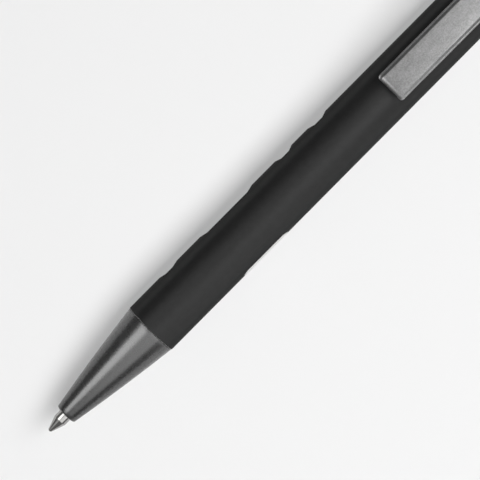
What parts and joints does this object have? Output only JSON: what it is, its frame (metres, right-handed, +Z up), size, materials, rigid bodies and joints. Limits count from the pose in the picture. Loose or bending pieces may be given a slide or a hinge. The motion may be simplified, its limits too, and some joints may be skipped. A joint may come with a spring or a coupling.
{
  "type": "stylus ballpoint pen",
  "caption": "Click ballpoint pen with a soft-touch black barrel, milled side flats, gunmetal nose, clip and push button, and a rubber stylus dome.",
  "frame": {"origin": "under the middle of the overall length with the point out, on the surface that the pen lies on", "axes": "+X from the writing point to the stylus end, +Z up through the clip, +Y towards the side with the row of flats"},
  "size_m": [0.14, 0.0104, 0.0131],
  "materials": {
    "soft_touch_black": "drawn aluminium tube under a matt black soft-touch lacquer, bare where the flats are milled",
    "nose_gunmetal": "turned and plated gunmetal, semi-gloss with fine turning marks",
    "clip_gunmetal": "satin gunmetal with a fine grain",
    "point_metal": "bright turned metal",
    "bush_brass": "turned brass",
    "spring_steel": "drawn spring wire",
    "white_plastic": "moulded acetal, slightly waxy",
    "black_plastic": "moulded acetal, matt",
    "tube_plastic": "translucent extruded tube",
    "ink": "blue ballpoint ink",
    "stylus_rubber": "soft matt conductive rubber"
  },
  "bodies": {
    "barrel": {"barrel_tube": "soft_touch_black", "front_bush": "bush_brass", "rear_bush": "bush_brass", "cam_sleeve": "white_plastic", "top_collar": "nose_gunmetal", "return_spring": "spring_steel"},
    "nose": {"nose_cone": "nose_gunmetal"},
    "clip": {"clip": "clip_gunmetal"},
    "button": {"plunger": "black_plastic", "button_shell": "nose_gunmetal", "stylus_holder": "black_plastic", "stylus_tip": "stylus_rubber"},
    "refill": {"refill_tube": "tube_plastic", "tip_holder": "white_plastic", "refill_tip": "point_metal", "ink_column": "ink", "refill_end_plug": "white_plastic"},
    "rotor": {"rotor_cam": "black_plastic"},
    "ball": {"writing_ball": "point_metal"}
  },
  "joints": [
    {"name": "button_press", "type": "slide", "parent": "barrel", "child": "button", "axis": [-1, 0, 0], "range_m": [-0.0055, 0.0012]},
    {"name": "refill_slide", "type": "slide", "parent": "barrel", "child": "refill", "axis": [-1, 0, 0], "range_m": [-0.0056, 0.0013], "deforming": ["return_spring"]},
    {"name": "rotor_turn", "type": "hinge", "parent": "refill", "child": "rotor", "pos_m": [0.0395, 0, 0.00525], "axis": [1, 0, 0], "range_deg": [-10.5, 45.8]},
    {"name": "clip_flex", "type": "hinge", "parent": "barrel", "child": "clip", "pos_m": [0.0571, 0, 0.0105], "axis": [0, 1, 0], "range_deg": [0, 3], "stiffness_Nm_per_rad": 3.5},
    {"name": "nose_pull_off", "type": "slide", "parent": "barrel", "child": "nose", "axis": [-1, 0, 0], "range_m": [0, 0.03]},
    {"name": "ball_roll", "type": "hinge", "parent": "refill", "child": "ball", "pos_m": [-0.06965, 0, 0.00525], "axis": [0, 1, 0], "continuous": true}
  ],
  "couplings": [
    {"joint": "refill_slide", "follows": "button_press", "ratio": 1},
    {"joint": "rotor_turn", "follows": "button_press", "rad_per_m": -142.8}
  ]
}
